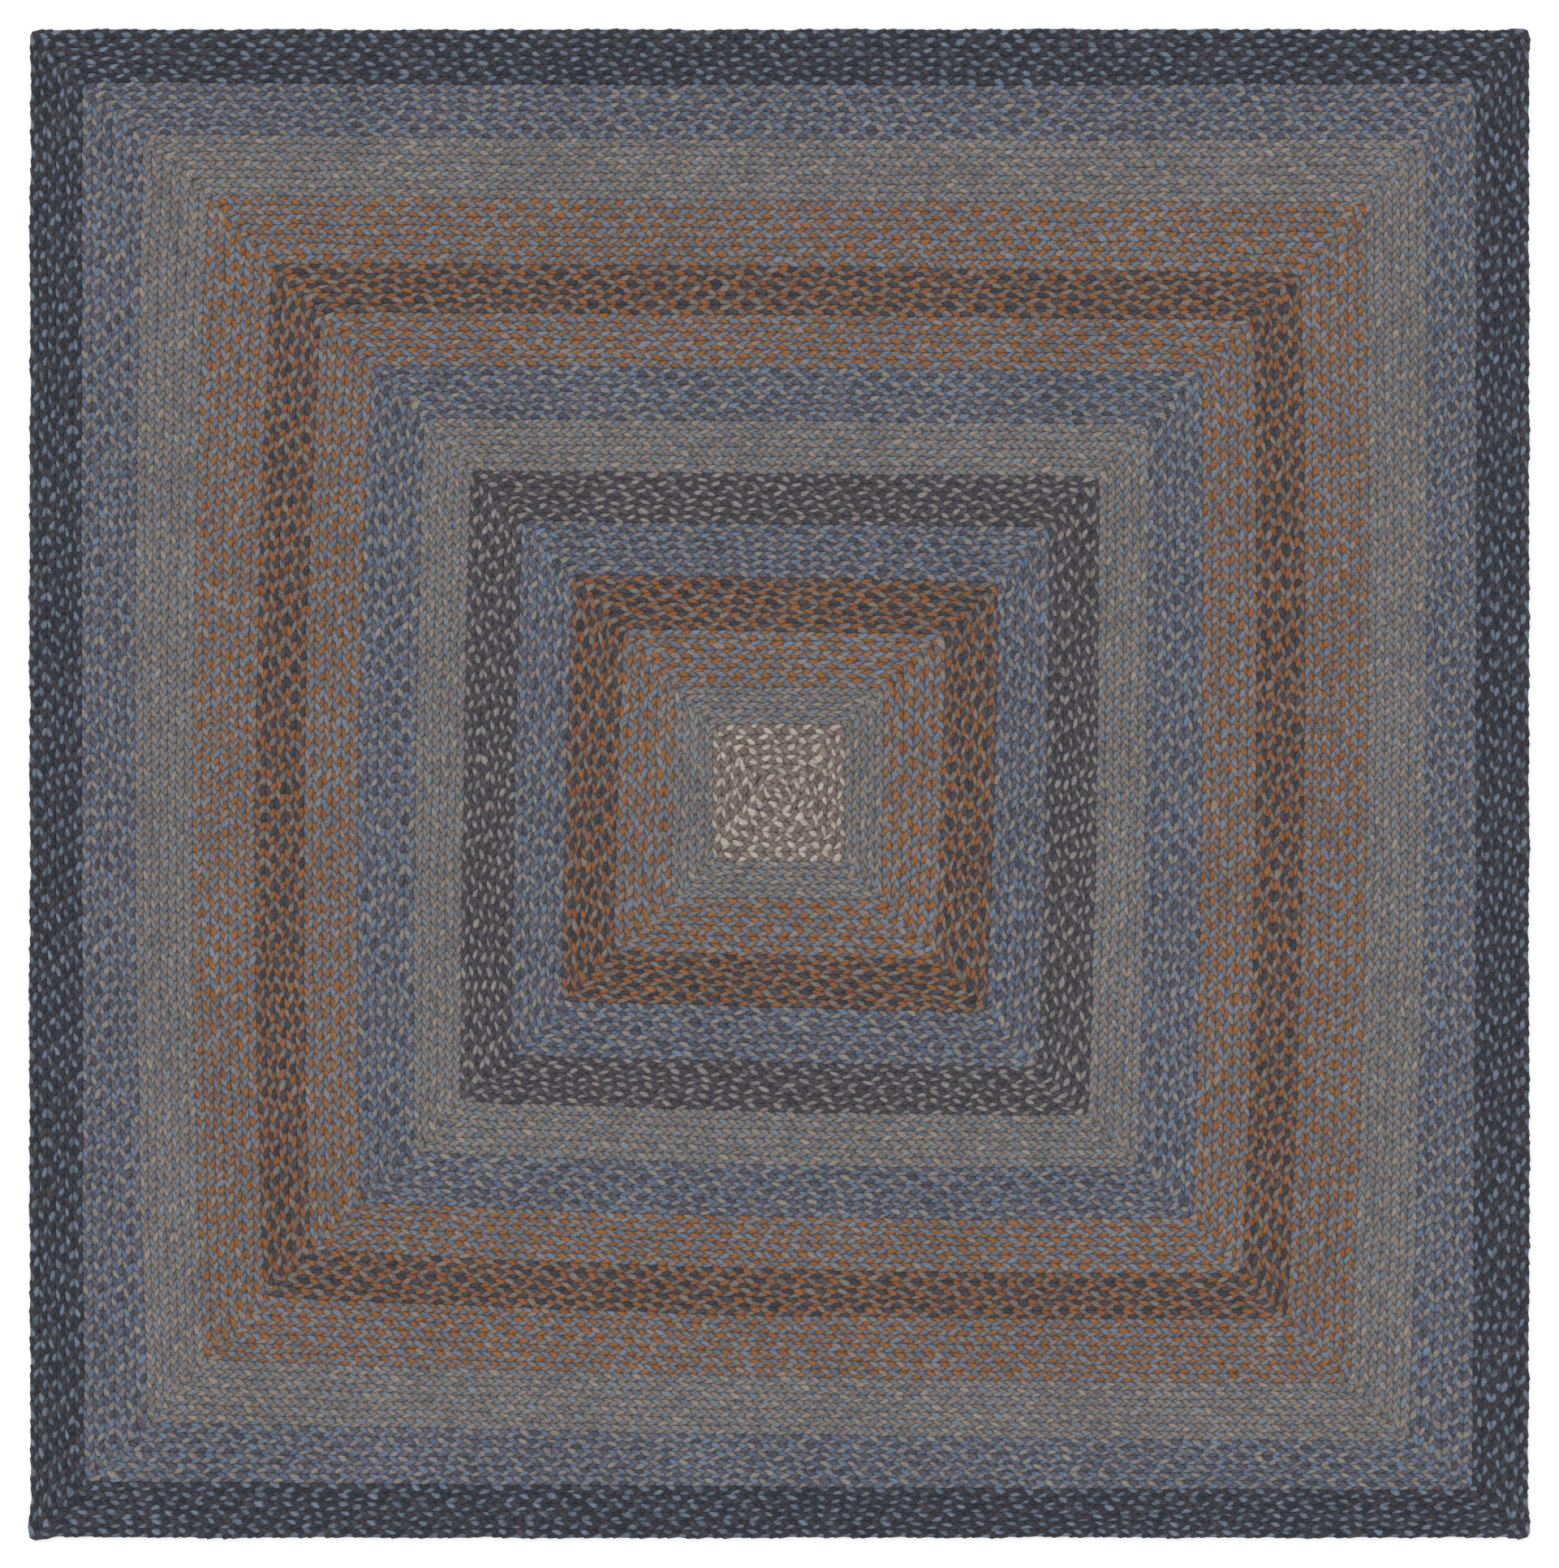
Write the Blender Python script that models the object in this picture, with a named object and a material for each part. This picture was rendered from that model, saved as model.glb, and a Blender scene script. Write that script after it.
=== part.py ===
"""Square braided rug, lying flat.

Fourteen lengths of three-strand flat braid, each in its own colours, are laid round one another.  Thirteen
are closed bands of concentric rounds, and the last is the block that coils out from the eye in the middle.
Each band is one solid whose rounds stand up as ribs on both faces.

Metres, +Z up, +Y towards the back edge.  The origin is the middle of the rug's box, on the floor.
"""

import math
from collections import namedtuple

import bmesh
import bpy
import numpy as np

MM = 0.001

# Cross-section of one round of braid, as heights above the floor and places across the round from 0 to 1
CREST = 8.0 * MM
FACE_GROOVE = 6.0 * MM  # bottom of the groove between two rounds on the face
UNDER_GROOVE = 1.4 * MM  # top of the groove between two rounds on the underside
CREST_PLACE = 0.5
LAND_START = 0.22  # the middle of a round is pressed flat on the floor, from here
LAND_END = 0.78  # to here

# The rug's rim, which is the rounded side of its outermost round, from the underside up
RimPoint = namedtuple("RimPoint", "place height")
RIM = (
    RimPoint(0.09, 1.0 * MM),
    RimPoint(0.00, 2.9 * MM),
    RimPoint(0.00, 4.9 * MM),
    RimPoint(0.15, 7.0 * MM),
)

BAND_GAP = 0.3 * MM  # between one band and the next
CORNER_RADIUS = 9.0 * MM
CORNER_STEPS = 2  # chords round one corner
SIDE_STEPS = 2  # chords along one side
EYE = np.array((2.6, -9.4)) * MM  # middle of the coil
RIGHT_ANGLE = math.radians(90)
SMOOTH_ANGLE = math.radians(50)

# A side of a band's outer edge, in mm.  reach: how far the middle of the side lies from the origin.
# turn: how much less the side reaches at its clockwise end than at its other end.
# bulge: how much further the middle of the side reaches than its ends.
Side = namedtuple("Side", "reach turn bulge")
OUTWARD = np.array(((-1, 0), (0, 1), (1, 0), (0, -1)), float)  # left, back, right and front: clockwise

# Bands from the rim inwards: name, braid, rounds, then the left, back, right and front side
Band = namedtuple("Band", "name braid rounds left back right front")
BANDS = (
    Band("band_01_border", "border_braid", 6,
         Side(912.5, 0, 1), Side(918, 0, 1), Side(912.5, 0, 1), Side(918, 0, 1)),
    Band("band_02_denim", "denim_braid", 6,
         Side(848, -3, 4), Side(850, 1, -3), Side(848, 9, 5), Side(855, 11, 2)),
    Band("band_03_taupe", "taupe_braid", 7,
         Side(784, -5, 13), Side(784, 6, -3), Side(786, 20, 10), Side(792, 23, 3)),
    Band("band_04_rust", "rust_braid", 7,
         Side(714, 6, 17), Side(709, 9, -3), Side(715, 19, 11), Side(722, 29, 7)),
    Band("band_05_navy", "navy_braid", 5,
         Side(637, 12, 16), Side(632, 12, 3), Side(638, 17, 12), Side(648, 30, 10)),
    Band("band_06_rust", "rust_braid", 6,
         Side(578, 13, 14), Side(571, 10, 2), Side(579, 14, 9), Side(589, 28, 10)),
    Band("band_07_denim", "denim_braid", 6,
         Side(512, 13, 9), Side(505, 8, 0), Side(514, 12, 5), Side(527, 20, 8)),
    Band("band_08_taupe", "taupe_braid", 6,
         Side(444, 12, 5), Side(439, 7, 0), Side(446, 13, 3), Side(460, 19, 6)),
    Band("band_09_charcoal", "charcoal_braid", 6,
         Side(384, 13, 2), Side(377, 7, 0), Side(386, 13, 4), Side(399, 17, 4)),
    Band("band_10_denim", "denim_braid", 6,
         Side(320, 14, 1), Side(312, 9, -1), Side(322, 14, 3), Side(335, 15, 1)),
    Band("band_11_navy", "navy_braid", 6,
         Side(259, 14, 1), Side(251, 9, 0), Side(261, 14, 2), Side(272, 14, 0)),
    Band("band_12_rust", "rust_braid", 6,
         Side(195, 12, 1), Side(185, 7, 0), Side(195, 12, 1), Side(206, 11, 0)),
    Band("band_13_taupe", "taupe_braid", 5,
         Side(129, 5, 0), Side(117, 2, 0), Side(126, 3, 0), Side(140, 2, 0)),
    Band("band_14_centre", "centre_braid", 7,
         Side(81, 1, 0), Side(72, 0, 0), Side(80, 1, 0), Side(95, 0, 0)),
)

# Mean colour of each braid's three strands, and how rough its yarn is
Braid = namedtuple("Braid", "colour roughness")
BRAIDS = {
    "border_braid": Braid((0.060, 0.066, 0.082), 0.95),
    "denim_braid": Braid((0.125, 0.128, 0.150), 0.95),
    "taupe_braid": Braid((0.163, 0.152, 0.157), 0.95),
    "rust_braid": Braid((0.175, 0.130, 0.123), 0.95),
    "navy_braid": Braid((0.137, 0.090, 0.075), 0.95),
    "charcoal_braid": Braid((0.102, 0.095, 0.102), 0.95),
    "centre_braid": Braid((0.230, 0.192, 0.175), 0.95),
}


def clear_scene():
    """Remove every object of the open scene."""
    for thing in list(bpy.data.objects):
        bpy.data.objects.remove(thing, do_unlink=True)


def sides_of(band):
    """A band's sides, clockwise from the left."""
    return band.left, band.back, band.right, band.front


def corners_of(band):
    """The corner that each side starts from: where its line meets that of the side before it."""
    sides = sides_of(band)
    starts = [side.reach - side.bulge + side.turn / 2 for side in sides]
    ends = [side.reach - side.bulge - side.turn / 2 for side in sides]
    return [(ends[i - 1] * OUTWARD[i - 1] + starts[i] * OUTWARD[i]) * MM for i in range(len(sides))]


def edge_of(band):
    """Points round a band's outer edge, clockwise: chords along each side and round its end corner."""
    corners = corners_of(band)
    points = []
    for i, side in enumerate(sides_of(band)):
        start, end = corners[i], corners[(i + 1) % len(corners)]
        length = np.linalg.norm(end - start)
        along = (end - start) / length
        rounding = CORNER_RADIUS / length
        for t in np.linspace(rounding, 1 - rounding, SIDE_STEPS + 1):
            swell = side.bulge * MM * 4 * t * (1 - t)
            points.append(start + (end - start) * t + OUTWARD[i] * swell)
        for step in range(1, CORNER_STEPS):
            angle = RIGHT_ANGLE * step / CORNER_STEPS
            inset = along * (math.sin(angle) - 1) + OUTWARD[i] * (math.cos(angle) - 1)
            points.append(end + CORNER_RADIUS * inset)
    return np.array(points)


def band_line(outer, inner, depth):
    """A line that lies at the share depth of the way from a band's outer edge to the next band's."""
    return outer + (inner - outer) * depth


def coil_line(edge, depth):
    """The centre block's edge drawn in to the eye by the share depth, and growing rounder on its way."""
    spokes = edge - EYE
    lengths = np.linalg.norm(spokes, axis=1, keepdims=True)
    circle = spokes / lengths * lengths.min()
    return EYE + (1 - depth) * (spokes * (1 - depth) + circle * depth)


def lift(line, height):
    """A flat line as points at one height."""
    return np.column_stack((line, np.full(len(line), height)))


def face_profile(rounds):
    """Place, in rounds, and height of each rib line on the face, from the outer edge inwards."""
    profile = [(0, FACE_GROOVE)]
    for i in range(rounds):
        profile += [(i + CREST_PLACE, CREST), (i + 1, FACE_GROOVE)]
    return profile


def under_profile(rounds):
    """The same on the underside, from the inner edge outwards: grooves, and the lands between them."""
    profile = [(rounds, UNDER_GROOVE)]
    for i in reversed(range(rounds)):
        profile += [(i + LAND_END, 0), (i + LAND_START, 0), (i, UNDER_GROOVE)]
    return profile


def skin(solid, lines, closed):
    """Quads between each line of points and the next, and from the last to the first where closed."""
    rows = [[solid.verts.new(point) for point in line] for line in lines]
    following = rows[1:] + rows[:1] if closed else rows[1:]
    for row, after in zip(rows, following):
        for k in range(len(row)):
            solid.faces.new((row[k - 1], row[k], after[k], after[k - 1]))
    return rows


def cap(solid, row, point):
    """A fan of triangles from a line to the point that it closes on."""
    tip = solid.verts.new(point)
    for k in range(len(row)):
        solid.faces.new((row[k - 1], row[k], tip))


def add_object(solid, band, rug):
    """The finished mesh as an object named after its band, in its braid's material, under the rug."""
    bmesh.ops.recalc_face_normals(solid, faces=solid.faces)
    mesh = bpy.data.meshes.new(band.name)
    solid.to_mesh(mesh)
    solid.free()
    mesh.shade_smooth()
    mesh.set_sharp_from_angle(angle=SMOOTH_ANGLE)
    mesh.materials.append(braid_material(band.braid))
    thing = bpy.data.objects.new(band.name, mesh)
    bpy.context.scene.collection.objects.link(thing)
    thing.parent = rug


def build_band(band, next_band, rug):
    """A closed ring: the band's whole cross-section carried round between its two edges."""
    outermost = band is BANDS[0]
    profile = face_profile(band.rounds) + under_profile(band.rounds)
    if outermost:
        profile = profile[1:-1] + list(RIM)
    outer, inner = edge_of(band), edge_of(next_band)
    widths = [side.reach - after.reach for side, after in zip(sides_of(band), sides_of(next_band))]
    inset = BAND_GAP / 2 / (min(widths) * MM)
    least = 0 if outermost else inset
    solid = bmesh.new()
    depths = np.clip([place / band.rounds for place, _ in profile], least, 1 - inset)
    lines = [lift(band_line(outer, inner, depth), height) for depth, (_, height) in zip(depths, profile)]
    skin(solid, lines, closed=True)
    add_object(solid, band, rug)


def build_centre(band, rug):
    """The coiled block: out from the eye over the face, round the edge, and back in over the underside."""
    profile = face_profile(band.rounds)[:-1][::-1] + under_profile(band.rounds)[1:][::-1]
    edge = edge_of(band)
    least = BAND_GAP / 2 / (min(side.reach for side in sides_of(band)) * MM)
    solid = bmesh.new()
    lines = [lift(coil_line(edge, max(place / band.rounds, least)), height) for place, height in profile]
    rows = skin(solid, lines, closed=False)
    cap(solid, rows[0], (*EYE, FACE_GROOVE))
    cap(solid, rows[-1], (*EYE, 0))
    add_object(solid, band, rug)


def braid_material(name):
    """Matte cloth in the mean colour of a braid's strands; bands of the same braid share it."""
    material = bpy.data.materials.get(name)
    if material is None:
        material = bpy.data.materials.new(name)
        material.use_nodes = True
        shader = material.node_tree.nodes["Principled BSDF"]
        shader.inputs["Base Color"].default_value = (*BRAIDS[name].colour, 1)
        shader.inputs["Roughness"].default_value = BRAIDS[name].roughness
        shader.inputs["Metallic"].default_value = 0
    return material


def main():
    """Build the rug, band by band, from the rim to the centre."""
    clear_scene()
    rug = bpy.data.objects.new("rug", None)
    bpy.context.scene.collection.objects.link(rug)
    for band, next_band in zip(BANDS, BANDS[1:]):
        build_band(band, next_band, rug)
    build_centre(BANDS[-1], rug)


main()
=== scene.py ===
"""Looks of a square braided rug that lies flat: every round of its braid in relief, in procedural yarn.

Each round is a flat three-strand braid.  Seen from above, a braid shows two lines of slanting lobes that
meet along its middle like the barbs of a feather.  Every third lobe of a line is the same strand.  A band
is a length of braid in one set of colours, laid round and round, and it is one piece here.

Metres, +Z up, +Y towards the back edge.  Sizes are in millimetres where their name ends in _mm.
"""

from __future__ import annotations

import logging
import math
from collections.abc import Callable
from dataclasses import dataclass, replace
from enum import Enum, IntEnum

import bpy
import numpy as np
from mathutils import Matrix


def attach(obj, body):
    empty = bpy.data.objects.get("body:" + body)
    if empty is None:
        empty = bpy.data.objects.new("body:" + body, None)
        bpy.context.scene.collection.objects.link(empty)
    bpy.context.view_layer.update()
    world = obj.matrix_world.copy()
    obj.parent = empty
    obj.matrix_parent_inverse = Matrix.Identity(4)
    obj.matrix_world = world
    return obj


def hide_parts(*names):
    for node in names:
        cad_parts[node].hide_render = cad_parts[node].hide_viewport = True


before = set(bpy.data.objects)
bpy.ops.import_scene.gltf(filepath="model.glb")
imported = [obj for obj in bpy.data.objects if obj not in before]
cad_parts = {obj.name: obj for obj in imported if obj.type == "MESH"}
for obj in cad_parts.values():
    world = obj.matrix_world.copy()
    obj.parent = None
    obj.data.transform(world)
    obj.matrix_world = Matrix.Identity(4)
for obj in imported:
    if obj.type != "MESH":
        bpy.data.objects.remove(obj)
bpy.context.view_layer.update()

LOG = logging.getLogger("rug")
BODY = "root"
MM = 0.001
OUTWARD = np.array(((-1, 0), (0, 1), (1, 0), (0, -1)), float)  # left, back, right and front: clockwise
SLANT = 0.28  # stitches by which a lobe runs on from the middle of its braid to the braid's side
SKEW = 0.4  # stitches by which its crest runs on further than its edges
LANE = 0.48  # half the height of a round in the pattern map, where rounds are 1 apart
PATTERN_MAP = "braid"
BAKE_MAP = "OFBake"
STRIP_START, STRIP_FILL = 0.06, 0.88  # the part of its strip of the bake map that a round's girth takes up
CORNER_COLUMNS = 5  # what is kept of a face's corner: vertex, U, V, stitch and girth
CORNER_STEPS = 12  # steps in which a band's outer edge turns a corner
RIPPLES = 14  # the most sines in an unevenness
LOBE_SHADE, LOBE_TINT, LOBE_FURROW_SHADE = 0.5, 2.5, 4.5  # which of a lobe's chances
PLY_FLECK, PLY_TINT = 7.0, 17.0  # which of a ply's chances, to which its number is added

Pair = tuple[float, float]
Trio = tuple[float, float, float]
Array = np.ndarray


class Seed(IntEnum):
    """Where each unevenness starts to draw.  A number for the round or the line is added."""

    DRIFT = 100
    LIFT = 500
    LEAN = 900
    LOBES = 3000
    JOLTS = 3500
    SWAY = 7000


# ---- finishes ----


def linear(code: str) -> tuple[float, float, float, float]:
    """A hex colour as linear light: ((c + 0.055) / 1.055) to the power 2.4, or c / 12.92 where it is dark.

    Args:
        code: the colour as "#rrggbb".

    Returns:
        Red, green, blue and an alpha of 1.
    """
    shares = [int(code[i : i + 2], 16) / 255 for i in (1, 3, 5)]
    light = [((c + 0.055) / 1.055) ** 2.4 if c > 0.04045 else c / 12.92 for c in shares]
    return (*light, 1.0)


@dataclass(frozen=True)
class Strand:
    """A strand of a braid: its yarn's colour, that of its flecks, and how bulky it lies."""

    yarn: str
    fleck: str
    bulk: float = 1.0


@dataclass(frozen=True)
class BraidFinish:
    """A braid's three strands."""

    strands: tuple[Strand, Strand, Strand]
    bloom: float = 0.16  # how much one lobe's brightness differs from the next


class Braid(Enum):
    """The braids of the rug, by the record's material slots."""

    BORDER = "border_braid"
    DENIM = "denim_braid"
    TAUPE = "taupe_braid"
    RUST = "rust_braid"
    NAVY = "navy_braid"
    CHARCOAL = "charcoal_braid"
    CENTRE = "centre_braid"


FINISHES = {
    Braid.BORDER: BraidFinish((
        Strand("#5c6775", "#6f7a8c", 0.88),
        Strand("#36343d", "#48444a", 1.07),
        Strand("#2f3542", "#403f48", 1.05),
    )),
    Braid.DENIM: BraidFinish((
        Strand("#827b7d", "#89837c"),
        Strand("#606a82", "#6a7a8e"),
        Strand("#50505c", "#63606a"),
    )),
    Braid.TAUPE: BraidFinish((
        Strand("#887e79", "#92887f"),
        Strand("#69717c", "#76808a"),
        Strand("#837a78", "#7c7570"),
    )),
    Braid.RUST: BraidFinish((
        Strand("#99663a", "#885c40", 0.96),
        Strand("#69707f", "#747f8f"),
        Strand("#7d7674", "#8a7d74"),
    )),
    Braid.NAVY: BraidFinish((
        Strand("#95623a", "#85573e", 0.97),
        Strand("#3f4047", "#4d4a51"),
        Strand("#736b68", "#7f746c"),
    )),
    Braid.CHARCOAL: BraidFinish((
        Strand("#817b7b", "#8b8582"),
        Strand("#49484f", "#5a565c"),
        Strand("#4d4a50", "#46444c"),
    )),
    Braid.CENTRE: BraidFinish((
        Strand("#beb1a9", "#aca298"),
        Strand("#81736f", "#8c7f77"),
        Strand("#7b6e6b", "#736964"),
    )),
}


def operator(operation: str, swapped: bool = False) -> Callable[[Value, Number], Value]:
    """An operator of Value that adds a Math node.

    Args:
        operation: the node's operation.
        swapped: whether the other number comes first.

    Returns:
        The operator, as a method.
    """

    def method(self: Value, other: Number) -> Value:
        """The operation on self and other."""
        first, second = (other, self) if swapped else (self, other)
        return self.paint.maths(operation, first, second)

    return method


class Value:
    """A number socket of a shader.  Python's operators on it add Math nodes."""

    def __init__(self, paint: Paint, socket: Socket) -> None:
        """Keep the socket and the paint whose tree it is in."""
        self.paint = paint
        self.socket = socket

    __add__ = __radd__ = operator("ADD")
    __mul__ = __rmul__ = operator("MULTIPLY")
    __sub__ = operator("SUBTRACT")
    __rsub__ = operator("SUBTRACT", swapped=True)
    __truediv__ = operator("DIVIDE")
    __pow__ = operator("POWER")
    __mod__ = operator("FLOORED_MODULO")  # what is left over a whole number of others, never negative
    __gt__ = operator("GREATER_THAN")  # 1 where it is true, and 0 elsewhere

    def __abs__(self) -> Value:
        """self without its sign."""
        return self.paint.maths("ABSOLUTE", self)

    def floor(self) -> Value:
        """The whole number below self."""
        return self.paint.maths("FLOOR", self)


Number = Value | float
Socket = bpy.types.NodeSocket
Colour = Socket | tuple


class Paint:
    """One material under construction: its node tree, and the few ways in which nodes are added to it."""

    def __init__(self, name: str) -> None:
        """Start a material whose tree is empty.

        Args:
            name: the material's name.
        """
        self.material = bpy.data.materials.new(name)
        self.material.use_nodes = True
        self.tree = self.material.node_tree
        self.tree.nodes.clear()

    def node(self, kind: str, settings: dict[str, object], inputs: dict[str | int, object]) -> bpy.types.Node:
        """Add a node.

        Args:
            kind: the node's type.
            settings: its properties, which are set first because they choose its sockets.
            inputs: for each socket, by name or number, a value, a socket or a Value.

        Returns:
            The new node.
        """
        made = self.tree.nodes.new(kind)
        for name, setting in settings.items():
            setattr(made, name, setting)
        for key, given in inputs.items():
            given = given.socket if isinstance(given, Value) else given
            if isinstance(given, Socket):
                self.tree.links.new(given, made.inputs[key])
            else:
                made.inputs[key].default_value = given
        return made

    def value(self, kind: str, settings: dict[str, object], inputs: dict[str | int, object]) -> Value:
        """The number that a new node gives."""
        return Value(self, self.node(kind, settings, inputs).outputs[0])

    def maths(self, operation: str, *terms: Number) -> Value:
        """A Math node of that operation on the terms."""
        return self.value("ShaderNodeMath", {"operation": operation}, dict(enumerate(terms)))

    def smooth(self, value: Number, low: float, high: float) -> Value:
        """(3 - 2 t) t squared, where t is the share of the way from low to high that value has gone."""
        limits = {"Value": value, "From Min": low, "From Max": high}
        return self.value("ShaderNodeMapRange", {"interpolation_type": "SMOOTHSTEP"}, limits)

    def vector(self, *parts: Number) -> Socket:
        """Three numbers as one vector."""
        return self.node("ShaderNodeCombineXYZ", {}, dict(enumerate(parts))).outputs[0]

    def dice(self, *parts: Number) -> bpy.types.Node:
        """A node whose number and colour are random, and stay the same for the same three parts."""
        inputs = {"Vector": self.vector(*parts)}
        return self.node("ShaderNodeTexWhiteNoise", {"noise_dimensions": "3D"}, inputs)

    def chance(self, *parts: Number) -> Value:
        """A random number from 0 to 1 that stays the same for the same three parts."""
        return Value(self, self.dice(*parts).outputs["Value"])

    def tinted(self, colour: Socket, amount: float, *parts: Number) -> Socket:
        """A colour times 1 + amount * (chance - 0.5), with a chance each for its red, green and blue.

        Args:
            colour: the colour.
            amount: how far apart the factors may lie.
            parts: three numbers.  The same three have the same chances.

        Returns:
            The tinted colour.
        """
        spread = {0: self.dice(*parts).outputs["Color"], 1: (amount,) * 3, 2: (1 - amount / 2,) * 3}
        factors = self.node("ShaderNodeVectorMath", {"operation": "MULTIPLY_ADD"}, spread)
        inputs = {0: colour, 1: factors.outputs[0]}
        return self.node("ShaderNodeVectorMath", {"operation": "MULTIPLY"}, inputs).outputs[0]

    def noise(self, place: Socket, scale: float, detail: float) -> Value:
        """Soft noise from 0 to 1, of scale patches to a unit of place and detail finer layers."""
        inputs = {"Vector": place, "Scale": scale, "Detail": detail, "Roughness": 0.6}
        return self.value("ShaderNodeTexNoise", {"noise_dimensions": "3D"}, inputs)

    def mix(self, share: Number, first: Colour, second: Colour) -> Socket:
        """A colour that is the first where share is 0 and the second where it is 1."""
        settings = {"data_type": "RGBA", "blend_type": "MIX"}
        return self.node("ShaderNodeMix", settings, {0: share, 6: first, 7: second}).outputs[2]

    def scaled(self, colour: Socket, factor: Value) -> Socket:
        """A colour times a number."""
        made = self.node("ShaderNodeVectorMath", {"operation": "SCALE"}, {"Vector": colour, "Scale": factor})
        return made.outputs[0]


@dataclass(frozen=True)
class BraidPaint:
    """The yarn of one braid, worked out from the pattern map.

    The map's U counts stitches along a round, and its V is the round's number + 0.5 + LANE * across, where
    across runs from -1 at the round's outer side to 1 at its inner side.
    """

    braid: Braid
    plies: float = 3.5  # of each strand
    twist: float = 1.2  # plies that cross a lobe from its root to its tip
    wander: float = 0.12  # stitches by which the pitch comes and goes
    slip: float = 0.3  # stitches by which a lobe's edges bend
    ragged: float = 0.7  # stitches by which fibres stick out over a lobe's edge
    fibres: float = 16.0  # across a lobe
    fibre_slant: float = 0.35  # stitches by which a fibre runs on from its lobe's root to the tip
    tufts: float = 420.0  # of fluff in a metre
    blotches: float = 7.0  # lighter and darker parts in a metre
    rounding: float = 0.3  # |f - reach| at which a lobe starts to round off, in bump and painted shadow
    fuzz: float = 0.5  # how uneven the tufts make that
    edge_from: float = 0.74  # reach where a lobe sinks towards the next round, in bump and painted shadow
    edge_sink: float = 0.52  # how far it sinks there
    edge_change: float = 2.0  # how much that comes and goes along the round
    fleck_parts: Trio = (0.35, 0.35, 0.6)  # of ply, lobe and tuft in the sum that makes flecks
    fleck_rise: Pair = (0.45, 0.85)  # the sums at which they start and fill all
    lobe_tint: float = 0.04  # how much the tints of lobes differ
    ply_tint: float = 0.09  # how much the tints of plies differ
    brightness: float = 1.19
    contrast: Trio = (1.3, 0.5, 0.3)  # of the fibres, the tufts and the blotches
    furrow_shades: Pair = (0.3, 0.6)  # painted shade between two plies: the least dark, and what chance adds
    gap_height: float = 0.8  # leaf's height at which the shadow beside a lobe ends
    gap_fade: float = 1.5  # how fast that shadow fades
    gap_shade: float = 0.45  # how dark it is
    relief: Trio = (0.3, 0.3, 0.2)  # heights of plies, fibres and tufts where a lobe's is 1
    relief_mm: float = 0.8

    def material(self) -> bpy.types.Material:
        """The braid's material, made once and shared by its bands."""
        name = self.braid.value + "_yarn"
        return bpy.data.materials.get(name) or self.dress(Paint(name), FINISHES[self.braid])

    def dress(self, paint: Paint, finish: BraidFinish) -> bpy.types.Material:
        """Fill the material's tree.

        A lobe's place in its line is run = U + SLANT * (1 - reach) - inner / 2, with reach = |across|.  Its
        number is the whole part of run, and f, the rest, goes across the lobe.  The strand that it belongs
        to is (number + 2 * inner) mod 3.  The lobe is a leaf of height 4 f (1 - f), lower where f and reach
        differ and beside the next round.  Its plies are domes of height 4 g (1 - g) side by side, where g
        goes across a ply.  The colour is the strand's, flecked and tinted, times a shade: painted shadow
        where the leaf is low, between lobes and beside the next round, painted shade between plies, and
        uneven tone from fibres, tufts and blotches.

        Args:
            paint: the new material.
            finish: the braid's colours.

        Returns:
            The finished material.
        """
        place = paint.node("ShaderNodeUVMap", {"uv_map": PATTERN_MAP}, {}).outputs[0]
        parts = paint.node("ShaderNodeSeparateXYZ", {}, {0: place})
        along, level = Value(paint, parts.outputs[0]), Value(paint, parts.outputs[1])
        row = level.floor()
        across = (level - row - 0.5) / LANE
        inner = across > 0
        reach = abs(across)
        line = row * 2 + inner

        # Noises of a couple of stitches, of part of one and of a fibre.  The factor of line only tells the
        # lines apart.
        where = paint.node("ShaderNodeTexCoord", {}, {}).outputs["Object"]
        tuft = paint.noise(where, self.tufts, 2.0)
        drift = paint.noise(paint.vector(along * 0.45, line * 5.3, 0.0), 1.0, 1.0) - 0.5
        slip = paint.noise(paint.vector(along * 1.7, reach * 1.2, line * 3.7), 1.0, 0.0) - 0.5
        course = along + (1 - reach) * SLANT - inner * 0.5 + drift * self.wander + slip * self.slip
        fibre_run = (course - reach * self.fibre_slant) * self.fibres
        fibre = paint.noise(paint.vector(fibre_run, reach * 3.0, line * 2.3), 1.0, 3.0)
        run = course + (fibre - 0.5) * self.ragged
        lobe = run.floor()
        f = run - lobe
        strand = (lobe + inner * 2) % 3.0

        corner = paint.smooth(abs(f - reach) + (tuft - 0.5) * self.fuzz, self.rounding, 1.0)
        edge = paint.smooth(reach, self.edge_from, 1.0) * (self.edge_sink + drift * self.edge_change)
        # The leaf is the lobe's height in the bump, and where it is low the colour gets painted shadow.
        leaf = f * (1 - f) * 4 * (1 - corner) * (1 - edge)
        ply_run = (course - lobe) * self.plies - reach * self.twist
        ply = ply_run.floor()
        g = ply_run - ply
        ply_dome = g * (1 - g) * 4
        blotch = paint.noise(where, self.blotches, 2.0)

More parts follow.
